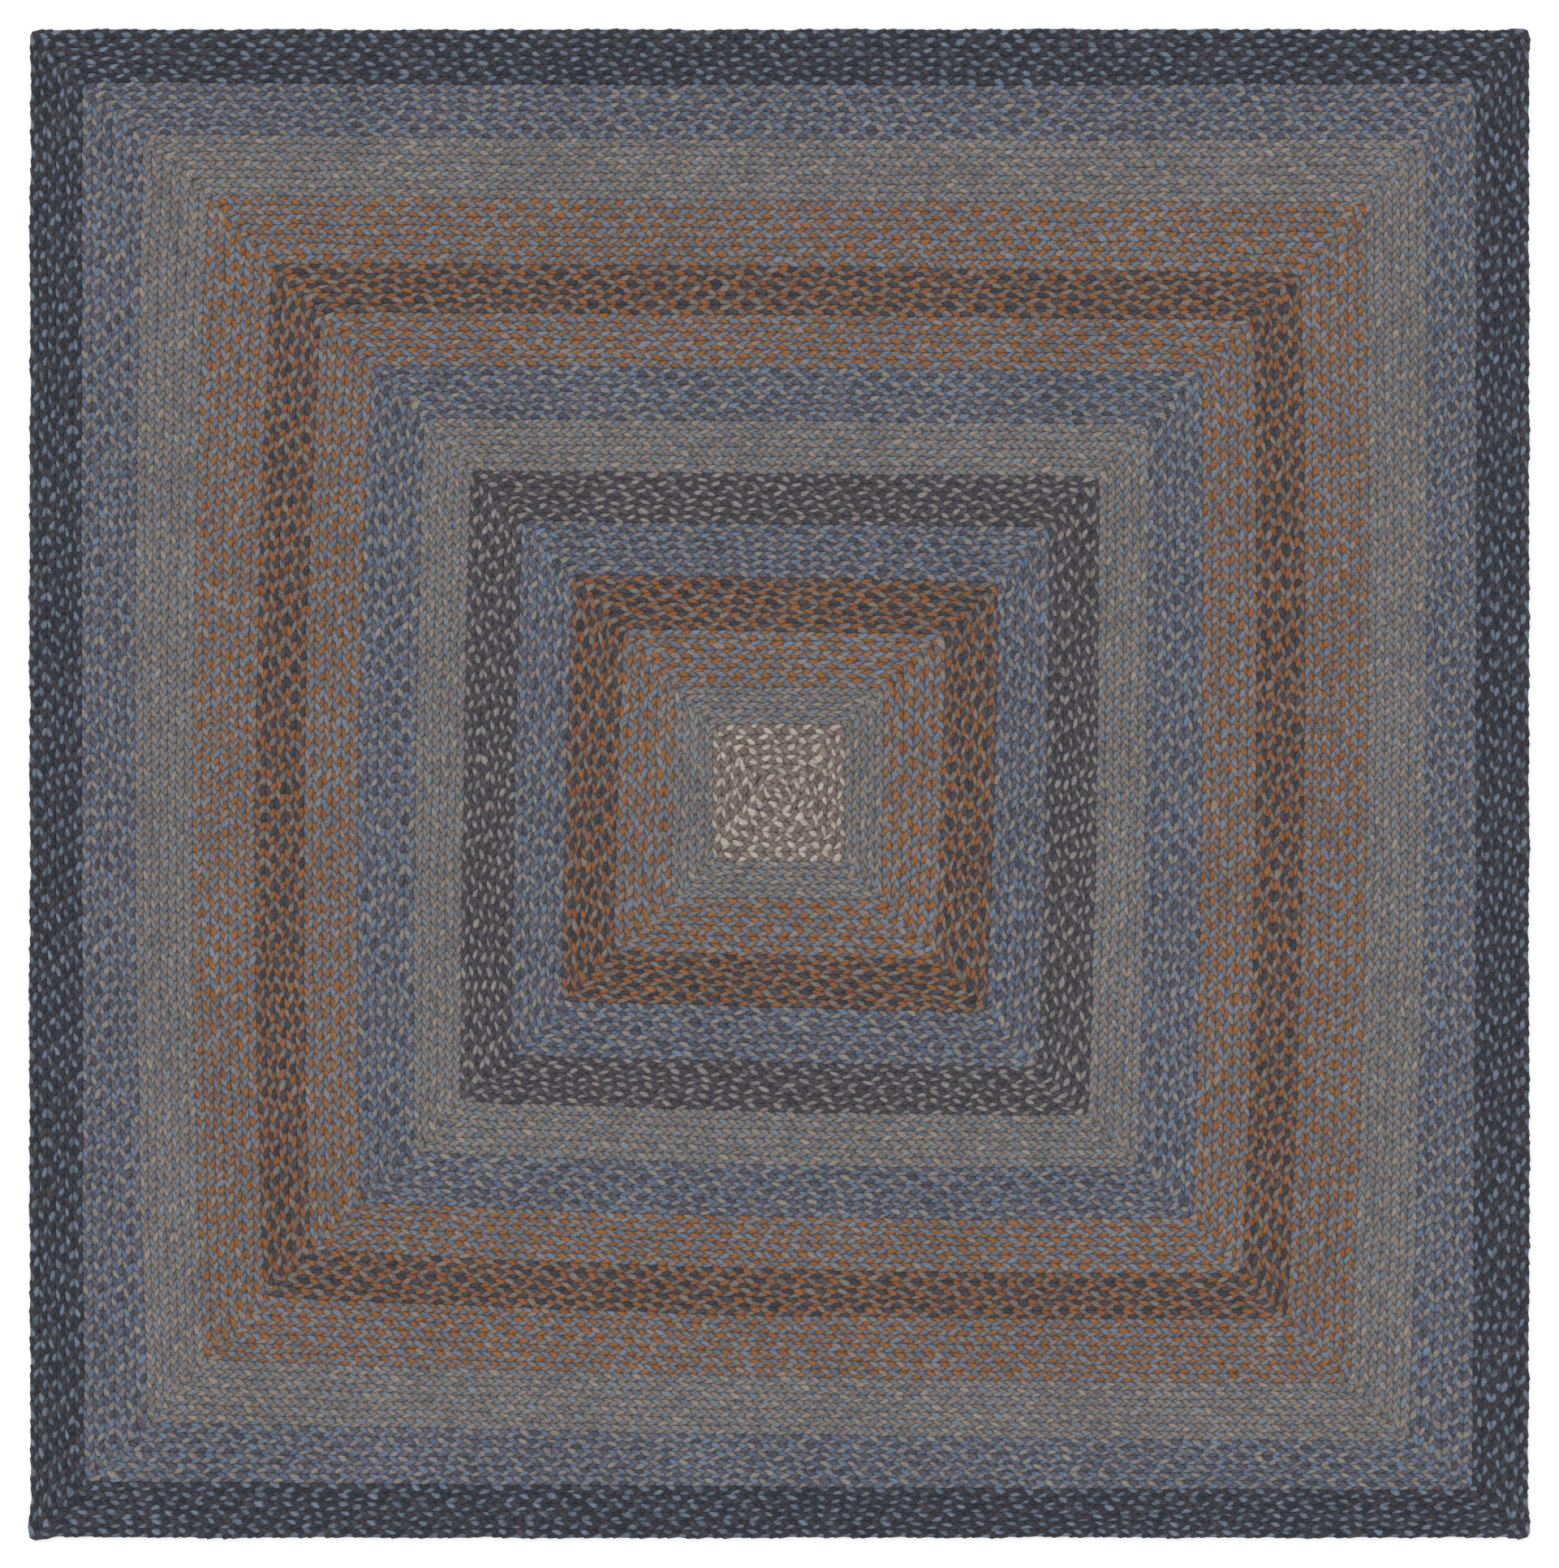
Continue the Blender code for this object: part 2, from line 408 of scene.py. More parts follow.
        lobe_chance = paint.chance(lobe, line, LOBE_SHADE)
        ply_chance = paint.chance(lobe, line, ply + PLY_FLECK)
        by_ply, by_lobe, by_tuft = self.fleck_parts
        fleck_sum = ply_chance * by_ply + lobe_chance * by_lobe + tuft * by_tuft
        fleck_share = paint.smooth(fleck_sum, *self.fleck_rise)
        colour = self.strand_colour(paint, strand, [linear(s.yarn) for s in finish.strands])
        fleck = self.strand_colour(paint, strand, [linear(s.fleck) for s in finish.strands])
        colour = paint.mix(fleck_share, colour, fleck)
        colour = paint.tinted(colour, self.lobe_tint, lobe, line, LOBE_TINT)
        colour = paint.tinted(colour, self.ply_tint, lobe, line, ply + PLY_TINT)
        # Painted shadow: the colour darkens where the leaf is low, between lobes, at their blunt corners and
        # beside the next round.
        gap_shadow = (1 - paint.smooth(leaf, 0.0, self.gap_height)) ** self.gap_fade
        # Painted shade in the furrows between plies.
        least, more = self.furrow_shades
        furrow_shade = (1 - ply_dome) * (least + paint.chance(lobe, line, LOBE_FURROW_SHADE) * more)
        shade = self.brightness + (lobe_chance - 0.5) * finish.bloom
        for change, contrast in zip((fibre, tuft, blotch), self.contrast):
            shade = shade + (change - 0.5) * contrast
        shade = (shade - furrow_shade) * (1 - gap_shadow * self.gap_shade)

        ply_height, fibre_height, tuft_height = self.relief
        height = leaf ** 0.5 + ply_dome ** 0.5 * ply_height + fibre * fibre_height + tuft * tuft_height
        bump = paint.node("ShaderNodeBump", {}, {
            "Strength": 1.0,
            "Distance": self.relief_mm * MM,
            "Height": height,
        })
        shader = paint.node("ShaderNodeBsdfPrincipled", {}, {
            "Base Color": paint.scaled(colour, shade),
            "Roughness": 0.84 + fibre * 0.14,
            "Specular IOR Level": 0.25,
            "Sheen Weight": 0.08,
            "Sheen Roughness": 0.6,
            "Normal": bump.outputs[0],
        })
        paint.node("ShaderNodeOutputMaterial", {}, {"Surface": shader.outputs[0]})
        return paint.material

    @staticmethod
    def strand_colour(paint: Paint, strand: Value, colours: list[tuple]) -> Socket:
        """The colour of strand 0, 1 or 2."""
        return paint.mix(strand > 1.5, paint.mix(strand > 0.5, colours[0], colours[1]), colours[2])


# ---- outlines ----


@dataclass(frozen=True)
class Side:
    """A side of a band's outer edge, in mm.

    reach is how far its middle lies from the origin, turn how much less it reaches at its clockwise end than
    at its other end, and bulge how much further its middle reaches than its ends.
    """

    reach: float
    turn: float
    bulge: float


@dataclass(frozen=True)
class Outline:
    """A band's outer edge: four bowed sides, clockwise from the left, with rounded corners between them."""

    left: Side
    back: Side
    right: Side
    front: Side
    corner_mm: float = 9.0  # radius of its corners
    waver_mm: float = 0.5  # how uneven it is
    waver_wave: float = 0.04  # the shortest wave of that, in metres
    waver_fade: float = 0.03  # metres within which it fades out at a corner
    ears_mm: tuple[float, float, float, float] = (0.0, 0.0, 0.0, 0.0)  # how far each corner stands out
    ear_fade: float = 0.014  # metres within which that fades out along a side
    side_steps: int = 320

    def corners(self) -> list[Array]:
        """Where the lines of neighbouring sides meet.

        A side's line is reach - bulge from the origin, half of turn more at its start and less at its end.

        Returns:
            The corner that each side starts from.
        """
        sides = (self.left, self.back, self.right, self.front)
        starts = [side.reach - side.bulge + side.turn / 2 for side in sides]
        ends = [side.reach - side.bulge - side.turn / 2 for side in sides]
        return [(ends[i - 1] * OUTWARD[i - 1] + starts[i] * OUTWARD[i]) * MM for i in range(len(sides))]

    def points(self) -> Array:
        """Points round the edge, clockwise.

        A side's point at t is start + (end - start) t + outward * (bulge * 4 t (1 - t) + waver + ears).
        Waver is an unevenness that fades out at the side's ends, and an ear falls off from its corner as
        exp(-(distance / ear_fade) squared).  A corner's point at angle a is end + radius * (along *
        (sin a - 1) + outward * (cos a - 1)), moved out with its ear.

        Returns:
            An array with a row for each point.
        """
        corners = self.corners()
        runs = []
        for i, side in enumerate((self.left, self.back, self.right, self.front)):
            start, end = corners[i], corners[(i + 1) % len(corners)]
            length = np.linalg.norm(end - start)
            along = (end - start) / length
            rounding = self.corner_mm * MM / length
            t = np.linspace(rounding, 1 - rounding, self.side_steps + 1)[:, None]
            waver = ripple(t, round(side.reach) * 4 + i, length, (length, self.waver_wave), self.waver_mm)
            fade = np.clip((np.minimum(t, 1 - t) - rounding) * length / self.waver_fade, 0, 1)
            out = side.bulge * 4 * t * (1 - t) + waver * fade
            ears = self.ears_mm[i], self.ears_mm[(i + 1) % len(corners)]
            for ear, away in zip(ears, (t - rounding, 1 - rounding - t)):
                out = out + ear * np.exp(-((away * length / self.ear_fade) ** 2))
            runs.append(start + (end - start) * t + OUTWARD[i] * MM * out)
            a = np.linspace(0, math.pi / 2, CORNER_STEPS + 1)[1:-1, None]
            arc = self.corner_mm * (along * (np.sin(a) - 1) + OUTWARD[i] * (np.cos(a) - 1))
            runs.append(end + (arc + ears[1] * (OUTWARD[i] + along)) * MM)
        return np.concatenate(runs)


def between(points: Array, place: Array) -> Array:
    """Points of a closed line at fractional places: a straight blend of the two nearest.

    Args:
        points: the line's points, a row each.
        place: numbers of points, with a fraction, which go round the line as often as they say.

    Returns:
        A point for each place.
    """
    whole = np.floor(place).astype(int)
    part = (place - whole)[:, None]
    count = len(points)
    return points[whole % count] * (1 - part) + points[(whole + 1) % count] * part


@dataclass(frozen=True)
class Lay:
    """How a band's rounds lie between its outer edge and the next band's: evenly, side by side."""

    outer: Array
    inner: Array

    def at(self, place: Array, depth: Array) -> Array:
        """Points at places along the edges and a share of the way in: outer + (inner - outer) * depth."""
        outer = between(self.outer, place)
        return outer + (between(self.inner, place) - outer) * depth[:, None]


@dataclass(frozen=True)
class CoilLay(Lay):
    """How the centre block's rounds lie: drawn in to the slit where the coil starts, and rounder near it."""

    eye_mm: Pair = (-2.4, -11.4)
    slit: Pair = (0.075, 0.002)  # its width and length, as shares of the block's
    squareness: float = 2.6  # how late on the way in the rounds turn round

    def at(self, place: Array, depth: Array) -> Array:
        """Points that go from the edge to the slit.

        A point is start + (1 - depth) * (spoke * (1 - w) + circle * w), where start is on the slit, a spoke
        goes from there to the edge, circle is the spoke at the shortest one's length and w is depth to the
        power squareness.

        Args:
            place: where along the edge they lie.
            depth: how far in, as shares of the way.

        Returns:
            A point for each place.
        """
        eye = np.array(self.eye_mm) * MM
        shortest = np.linalg.norm((self.outer - eye) * (1 - np.array(self.slit)), axis=1).min()
        edge = between(self.outer, place) - eye
        start = eye + edge * self.slit
        spoke = edge * (1 - np.array(self.slit))
        circle = spoke / np.linalg.norm(spoke, axis=1, keepdims=True) * shortest
        depth = depth[:, None]
        w = np.clip(depth, 0, 1) ** self.squareness
        return start + (1 - depth) * (spoke * (1 - w) + circle * w)


def ripple(share: Array, seed: int, length: float, waves: Pair, size: float) -> Array:
    """Smooth, closed unevenness: a sum of sines of whole numbers of waves, each with its own phase.

    Args:
        share: places round a closed line, as shares of it.
        seed: which unevenness.
        length: the line's length.
        waves: the lengths of its longest and its shortest wave.
        size: its root mean square.

    Returns:
        A number for each place.
    """
    least = max(1.0, length / waves[0])
    counts = np.unique(np.geomspace(least, max(least + 1, length / waves[1]), RIPPLES).round())
    turns = share[..., None] * counts + np.random.default_rng(seed).random(len(counts))
    return np.sin(2 * np.pi * turns).sum(-1) * size * math.sqrt(2 / len(counts))


# ---- braids ----


@dataclass(frozen=True)
class Rib:
    """One line of points along a round: its place across, from -1 to 1, and its heights in mm.

    lobe is its height over the crest of a lobe, groove that between two lobes, and per_stitch how many
    points it has for each stitch.
    """

    across: float
    lobe_mm: float
    groove_mm: float
    per_stitch: int = 2

    def over(self, column: Array) -> Array:
        """Whether points lie on a lobe: every other one, and none where a stitch has one point only."""
        first = 1 if self.across < 0 else 0
        return (self.per_stitch == 2) & (column % 2 == first)

    def along(self, column: Array) -> Array:
        """Where points lie along the round, in stitches.

        That is column / per_stitch - SLANT * (1 - |across|), and SKEW * (|across| - 0.5) more on a lobe,
        but for the braid's middle: a crest goes from corner to corner, from its lobe's root to the tip.

        Args:
            column: which points.

        Returns:
            A number for each point.
        """
        reach = abs(self.across)
        crest = SKEW * (reach - 0.5) * self.over(column) if 0 < reach else 0
        return column / self.per_stitch - SLANT * (1 - reach) + crest


FACE = (
    Rib(-1.00, 5.1, 4.5),
    Rib(-0.80, 6.9, 5.7),
    Rib(-0.45, 7.8, 6.2),
    Rib(0.00, 6.6, 6.6),
    Rib(0.45, 7.8, 6.2),
    Rib(0.80, 6.9, 5.7),
    Rib(1.00, 5.1, 4.5),
)
UNDERSIDE = (
    Rib(0.82, 0.0, 0.0, 1),
    Rib(-0.82, 0.0, 0.0, 1),
)
RIM_FACE = (
    Rib(-1.00, 5.2, 4.5),
    Rib(-0.82, 7.2, 5.9),
    *FACE[2:],
)
RIM_UNDERSIDE = (
    Rib(0.82, 0.0, 0.0, 1),
    Rib(-0.62, 0.0, 0.0, 1),
    Rib(-1.00, 2.6, 2.6),
)


@dataclass(frozen=True)
class Line:
    """The points of one rib in a mesh: its first point, how many it has, and where it lies in the maps."""

    rib: Rib
    first: int
    count: int
    girth: float  # the share of the round's girth that lies before it, for the bake map

    def corners(self, column: Array, row: int) -> Array:
        """Faces' corners at columns of this line.

        Args:
            column: which points, counted past the line's end where a face goes over its seam.
            row: the round's number in the rug.

        Returns:
            A row for each: vertex, U and V in the pattern map, stitch and girth for the bake map.
        """
        stitch = column / self.rib.per_stitch
        v = np.full(len(column), row + 0.5 + LANE * self.rib.across)
        vertex = self.first + column % self.count
        girth = np.full(len(column), self.girth)
        return np.stack((vertex, self.rib.along(column), v, stitch, girth), axis=1)


def strip_faces(line: Line, after: Line, row: int) -> tuple[Array, Array]:
    """Faces between two lines of a round, seen from outside, the first line on the left.

    Lines of as many points are joined by quads.  They start at the corner from which the shorter diagonal
    goes, so the two halves of the braid mirror each other.  Where one line has two points a stitch and the
    other one, three triangles fill a stitch.

    Args:
        line: the line nearer the round's outer side on the face.
        after: the next line round the braid.
        row: the round's number in the rug.

    Returns:
        The corners of the quads and those of the triangles.
    """
    k = np.arange(min(line.count, after.count))
    if line.count == after.count:
        corners = [
            line.corners(k, row),
            after.corners(k, row),
            after.corners(k + 1, row),
            line.corners(k + 1, row),
        ]
        first = 0 if line.rib.across < 0 else 1
        return np.stack(corners[first:] + corners[:first], axis=1), np.zeros((0, 3, CORNER_COLUMNS))
    dense, sparse = (line, after) if line.count > after.count else (after, line)
    a, b, c = (dense.corners(2 * k + i, row) for i in range(3))
    d, e = (sparse.corners(k + i, row) for i in range(2))
    trios = ((a, d, b), (d, e, b), (b, e, c)) if dense is line else ((d, a, b), (d, b, e), (e, b, c))
    return np.zeros((0, 4, CORNER_COLUMNS)), np.concatenate([np.stack(trio, axis=1) for trio in trios])


@dataclass
class Round:
    """One round of braid: a closed, flattened tube with a lobe for every stitch on each half of its face."""

    lay: Lay
    row: int  # its number in the rug, from the rim
    number: int  # in its band
    rounds: int  # in its band
    pitch_mm: float
    finish: BraidFinish

    swell_mm: float = 0.8  # how far a lobe reaches over the round's own side
    tuck_mm: float = 0.1  # the same between two lobes
    rim_swell_mm: float = 0.4  # both again at the rug's rim
    rim_tuck_mm: float = -0.25
    bulk_swell_mm: float = 6.0  # how much further a lobe would reach at twice the bulk
    chance_swell_mm: float = 0.25  # how much that differs from lobe to lobe
    chance_height: float = 0.035  # how much a lobe's height differs, as a share of it
    turn: float = 0.009  # metres within which a corner fades out
    skirt_mm: float = 5.0  # how much wider its underside is where it turns a corner
    skirt_share: float = 0.2  # the most of that along its sides
    skirt_stitches: float = 9.0  # the most of it again, times the round's stitches
    overlap_mm: float = 1.3  # how far it goes under the round outside it at a corner
    weave: float = 0.18  # how far the lobes' roots cross the middle, as a share of half the width
    lean: float = 0.14  # how far the middle wanders, as a share of half the width
    lean_waves: Pair = (0.5, 0.03)  # the longest and the shortest, in metres, as in all waves
    bias: float = -0.06  # where the middle lies on average, from -1 at the outer side
    sway: float = 0.065  # unevenness of the line between two rounds, in rounds
    sway_waves: Pair = (0.7, 0.06)
    lift_mm: float = 0.2  # unevenness of its height
    lift_waves: Pair = (0.6, 0.04)
    drift: float = 0.7  # stitches by which the pitch runs ahead or behind along the round
    drift_waves: Pair = (9.0, 0.4)
    drift_stitches: int = 120  # stitches in a round below which it drifts less
    loose_stitches: int = 12  # stitches in a round up to which none are put on its corners
    tying: int = 3  # times that a corner's stitch is looked for
    jolt: float = 0.06  # stitches by which one groove is out of step
    pit: float = 0.12  # how much lower its sides lie at the corners

    def __post_init__(self) -> None:
        """Lay out the middle line and the corners, and fit whole repeats of three stitches to the length."""
        place = np.arange(len(self.lay.outer) + 1, dtype=float)
        middle = self.lay.at(place, np.full(len(place), (self.number + 0.5) / self.rounds))
        self.distance = np.concatenate(((0,), np.linalg.norm(np.diff(middle, axis=0), axis=1).cumsum()))
        self.place = place
        self.middle = middle[:-1]
        ahead = np.roll(self.middle, -1, axis=0) - np.roll(self.middle, 1, axis=0)
        outward = np.column_stack((-ahead[:, 1], ahead[:, 0]))
        self.outward = outward / np.linalg.norm(outward, axis=1, keepdims=True)
        self.length = self.distance[-1]
        self.stitches = 3 * max(1, round(self.length / (3 * self.pitch_mm * MM)))
        self.drift *= min(1.0, self.stitches / self.drift_stitches)
        self.edge_length = np.linalg.norm(np.diff(self.lay.outer, axis=0), axis=1).sum()
        self.outer, self.inner = (self.reach(self.number + i) for i in range(2))
        turns = np.arange(1, 5) * len(self.middle) / 4 - CORNER_STEPS / 2
        self.corners = np.interp(turns, place, self.distance) / self.length
        self.knots, self.shifts = self.tied()

    def tied(self) -> tuple[Array, Array]:
        """The stitches that fall on the corners.

        A corner's spot is the share that the drift carries to it.  The whole stitch nearest the spot is its
        knot, and the rest is how far the knot is shifted.

        Returns:
            The knots and their shifts, as shares of the round.
        """
        spots = self.corners
        for _ in range(self.tying):
            spots = self.corners - self.drifted(spots)
        knots = np.round(spots * self.stitches) / self.stitches
        return knots, (spots - knots) * (self.stitches > self.loose_stitches)

    def drifted(self, share: Array) -> Array:
        """How far the pitch has run ahead or behind, as a share of the round."""
        size = self.drift / self.stitches
        return ripple(share, Seed.DRIFT + self.row, self.length, self.drift_waves, size)

    def cornering(self, share: Array) -> Array:
        """1 at a corner and 0 away from it: exp(-(distance / turn) squared) to the nearest one."""
        away = (share[:, None] - self.corners + 0.5) % 1 - 0.5
        return np.exp(-((np.abs(away).min(axis=1) * self.length / self.turn) ** 2))

    def jolts(self, rib: Rib, column: Array) -> Array:
        """How far out of step points are, in stitches: a groove by chance, and a lobe with its grooves.

        Args:
            rib: which line.
            column: which points of it.

        Returns:
            A number for each point.
        """
        if rib.per_stitch == 1:
            return np.zeros(len(column))
        rng = np.random.default_rng(Seed.JOLTS + self.row)
        outer, inner = rng.normal(0, self.jolt, (2, self.stitches))
        whole = column // 2
        if rib.across == 0:
            return np.where(column % 2 == 0, outer[whole], inner[whole])
        jolt, beside = (outer, whole + 1) if rib.across < 0 else (inner, whole - 1)
        return np.where(rib.over(column), (jolt[whole] + jolt[beside % self.stitches]) / 2, jolt[whole])

    def ribs(self) -> tuple[Rib, ...]:
        """The round's cross-section, from its outer side over the face and back under it."""
        return RIM_FACE + RIM_UNDERSIDE if self.row == 0 else FACE + UNDERSIDE

    def boundary(self, place: Array, edge: int) -> Array:
        """Where the line between two rounds runs: at edge, with some sway between the band's two sides.

        Args:
            place: where along the line.
            edge: the line between rounds edge - 1 and edge of the band.

        Returns:
            How many rounds it lies from the band's outer edge, at each place.
        """
        if edge in (0, self.rounds):
            return np.full(len(place), float(edge))
        share = place / (len(self.place) - 1)
        seed = Seed.SWAY + self.row - self.number + edge
        return edge + ripple(share, seed, self.edge_length, self.sway_waves, self.sway)

    def reach(self, edge: int, window: int = 24) -> Array:
        """How far out from each point of the middle line its normal meets the line between two rounds.

        Of the line's points near by, the nearest two are taken between which (point - middle) . ahead rises
        past zero, and (point - middle) . outward is blended between them to where it does.

        Args:
            edge: the line between rounds edge - 1 and edge of the band.
            window: how many points either way are near by.

        Returns:
            A distance for each point of the middle line, negative towards the inner side.
        """
        place = np.arange(len(self.middle))
        line = self.lay.at(place.astype(float), self.boundary(place.astype(float), edge) / self.rounds)
        near = (place[:, None] + np.arange(-window, window + 1)) % len(line)
        away = line[near] - self.middle[:, None]
        forward = self.outward[:, ::-1] * (1, -1)
        ahead, out = ((away * axis[:, None]).sum(axis=2) for axis in (forward, self.outward))
        rises = (ahead[:, :-1] < 0) & (ahead[:, 1:] >= 0)
        after = np.argmin(np.where(rises, np.abs(np.arange(0.5 - window, window)), len(line)), axis=1) + 1
        low, high = ahead[place, after - 1], ahead[place, after]
        share = np.clip(low / np.minimum(low - high, -1e-9), 0, 1)
        return out[place, after - 1] * (1 - share) + out[place, after] * share

    def shares(self, rib: Rib, column: Array) -> Array:
        """How far along the round points lie.

        Stitch s lies at the share s / stitches of the round's middle line, moved along a little so that
        whole stitches fall on the corners, and by a slow drift.

        Args:
            rib: which line.
            column: which points of it.

        Returns:
            A share for each point, a little under 0 or over 1 where the round closes.
        """
        share = (rib.along(column) + self.jolts(rib, column)) / self.stitches
        share = share + np.interp(share, self.knots, self.shifts, period=1)
        return share + self.drifted(share)

    def spill_mm(self, rib: Rib, bulk: Array, chance: Array, cornering: Array) -> Array:
        """How far points lie past the round's own sides, in mm.

        At its sides that is swell + bulk_swell * (bulk - 1) + chance_swell * chance over a lobe, tuck
        beside it, and overlap * cornering more on the outer side.  On its underside it is skirt *
        cornering, or a small part of the skirt where that is more, but nothing at the rim.

        Args:
            rib: which line.
            bulk: the bulk of each point's strand.
            chance: a number around 0 for each point's lobe.
            cornering: how near a corner each point is.

        Returns:
            A number for each point.
        """
        rim = self.row == 0 and rib.across < 0
        if abs(rib.across) == 1:
            swell, tuck = (self.rim_swell_mm, self.rim_tuck_mm) if rim else (self.swell_mm, self.tuck_mm)
            lobe = swell + (bulk - 1) * self.bulk_swell_mm + self.chance_swell_mm * chance
            over = rib.over(np.arange(len(bulk)))
            return np.where(over, lobe, tuck) + self.overlap_mm * cornering * (rib.across < 0 and not rim)
        if rib.lobe_mm or rim:
            return np.zeros(len(bulk))
        least = min(self.skirt_share, self.skirt_stitches / self.stitches)
        return self.skirt_mm * np.maximum(cornering, least)

    def points(self, rib: Rib) -> Array:
        """A rib's points.

        A point lies straight out or in from its share of the middle line, at middle + outward * (outer +
        (inner - outer) (across + 1) / 2), and past that by its spill.  Its height is the lobe's times the
        bulk of its strand over a crest, a little uneven, and the groove's beside it, less pit * cornering
        of that at the round's sides.

        Args:
            rib: which line.

        Returns:
            A row for each point.
        """
        column = np.arange(self.stitches * rib.per_stitch)
        share = self.shares(rib, column)
        wrapped = np.interp(share % 1.0 * self.length, self.distance, self.place)
        place = wrapped + np.floor(share) * (len(self.place) - 1)
        cornering = self.cornering(share)

        over = rib.over(column)
        number = column // rib.per_stitch + (0 if rib.across < 0 else 1)
        bulks = np.array([strand.bulk for strand in self.finish.strands])
        bulk = np.where(over, bulks[number % 3], 1.0)
        rng = np.random.default_rng(Seed.LOBES + self.row * 2 + (rib.across > 0))
        chance = rng.normal(0, 1, self.stitches)[number % self.stitches]

        across = rib.across + (self.weave * np.where(column % 2 == 1, 1, -1) if rib.across == 0 else 0)
        lean = self.bias + ripple(share, Seed.LEAN + self.row, self.length, self.lean_waves, self.lean)
        across = across + lean * (1 - rib.across ** 2)
        spill = self.spill_mm(rib, bulk, chance, cornering) * MM * np.sign(rib.across)
        bounds = between(np.column_stack((self.middle, self.outward, self.outer, self.inner)), place)
        middle, outward, outer, inner = bounds[:, :2], bounds[:, 2:4], bounds[:, 4], bounds[:, 5]
        off = outer + (inner - outer) * (across + 1) / 2 - spill
        ground = middle + outward * off[:, None]

        lift = ripple(share, Seed.LIFT + self.row, self.length, self.lift_waves, self.lift_mm)
        lobe = rib.lobe_mm * bulk * (1 + self.chance_height * chance * over) + lift
        height = np.where(over, lobe, rib.groove_mm) if rib.lobe_mm else np.zeros(len(column))
        if abs(rib.across) == 1:
            height = height * (1 - self.pit * cornering)
        return np.column_stack((ground, height * MM))


class RugMesh:
    """Points and faces of a piece, gathered round by round."""

    def __init__(self) -> None:
        """Start empty."""
        self.points: list[Array] = []
        self.quads: list[Array] = []
        self.triangles: list[Array] = []
        self.count = 0

    def add(self, course: Round, chunks: int, strips: int) -> None:
        """Add a round.

        Args:
            course: the round.
            chunks: how many strips of the bake map it fills, one below the other.
            strips: how many strips that map has in all.
        """
        lines = []
        ribs = course.ribs()
        clouds = [course.points(rib) for rib in ribs]
        steps = [np.linalg.norm(a[0] - b[0]) for a, b in zip(clouds, clouds[1:] + clouds[:1])]
        girths = np.concatenate(((0,), np.cumsum(steps))) / sum(steps)
        for rib, cloud, girth in zip(ribs, clouds, girths):
            lines.append(Line(rib, self.count, len(cloud), girth))
            self.points.append(cloud)
            self.count += len(cloud)
        lines.append(replace(lines[0], girth=1.0))
        run = math.ceil(course.stitches / chunks)
        for line, after in zip(lines, lines[1:]):
            for store, corners in zip((self.quads, self.triangles), strip_faces(line, after, course.row)):
                chunk = np.floor(corners[:, :, 3].min(axis=1, keepdims=True) / run)
                strip = course.number * chunks + chunk
                corners[:, :, 3] = corners[:, :, 3] / run - chunk
                corners[:, :, 4] = (strip + STRIP_START + STRIP_FILL * corners[:, :, 4]) / strips
                store.append(corners)

    def build(self, name: str) -> bpy.types.Object:
        """The finished piece, with its pattern map and its bake map.

        Args:
            name: the piece's name.

        Returns:
            Its object, at the origin.
        """
        quads, triangles = np.concatenate(self.quads), np.concatenate(self.triangles)
        corners = np.concatenate([faces.reshape(-1, CORNER_COLUMNS) for faces in (quads, triangles)])
        starts = np.concatenate((np.arange(len(quads)) * 4, len(quads) * 4 + np.arange(len(triangles)) * 3))
        mesh = bpy.data.meshes.new(name)
        mesh.vertices.add(self.count)
        mesh.vertices.foreach_set("co", np.concatenate(self.points).astype(np.float32).ravel())
        mesh.loops.add(len(corners))
        mesh.loops.foreach_set("vertex_index", corners[:, 0].astype(np.int32))
        mesh.polygons.add(len(starts))
        mesh.polygons.foreach_set("loop_start", starts.astype(np.int32))
        for layer, columns in ((PATTERN_MAP, (1, 2)), (BAKE_MAP, (3, 4))):
            uv = mesh.uv_layers.new(name=layer, do_init=False)
            uv.uv.foreach_set("vector", corners[:, columns].astype(np.float32).ravel())
        mesh.update(calc_edges=True)
        mesh.validate()
        mesh.shade_smooth()
        thing = bpy.data.objects.new(name, mesh)
        bpy.context.scene.collection.objects.link(thing)
        return thing


@dataclass
class Band:
    """A length of braid in one set of colours, laid in closed rounds: one piece of the rug."""

    name: str
    braid: Braid
    rounds: int
    outline: Outline
    pitch_mm: float

    girth_mm: float = 26.0  # of one round of braid

    def lay(self, after: Band | None) -> Lay:
        """How its rounds lie, given the next band in."""
        return Lay(self.outline.points(), after.outline.points())

    def flat(self, width: float, mean: float) -> Pair:
        """Its size laid out: its width, and how long its rounds are on average."""
        return width, mean

    def build(self, first_row: int, after: Band | None) -> bpy.types.Object:
        """Make the piece.

        Args:
            first_row: the number of its outermost round in the rug.
            after: the next band in, or None for the centre block.

        Returns:
            The piece, dressed and parented to the rug's body.
        """
        lay = self.lay(after)
        place = np.arange(float(len(lay.outer)))
        across = lay.at(place, np.zeros(len(place))) - lay.at(place, np.ones(len(place)))
        width = float(np.median(np.linalg.norm(across, axis=1)))
        courses = [
            Round(lay, first_row + i, i, self.rounds, self.pitch_mm, FINISHES[self.braid])
            for i in range(self.rounds)
        ]
        mean = float(np.mean([course.length for course in courses]))
        chunks = max(1, round(math.sqrt(mean / (self.girth_mm * MM * self.rounds))))
        mesh = RugMesh()
        for course in courses:
            mesh.add(course, chunks, chunks * self.rounds)
        thing = mesh.build(self.name + "_braid")
        thing.data.materials.append(BraidPaint(self.braid).material())
        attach(thing, BODY)
        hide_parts(self.name)
        self.flat(width, mean)
        stitches = sum(course.stitches for course in courses)
        LOG.info("%s: %d rounds of %.2f m, %.1f mm wide, %d stitches", thing.name, self.rounds, mean,
                 width / MM, stitches)
        return thing


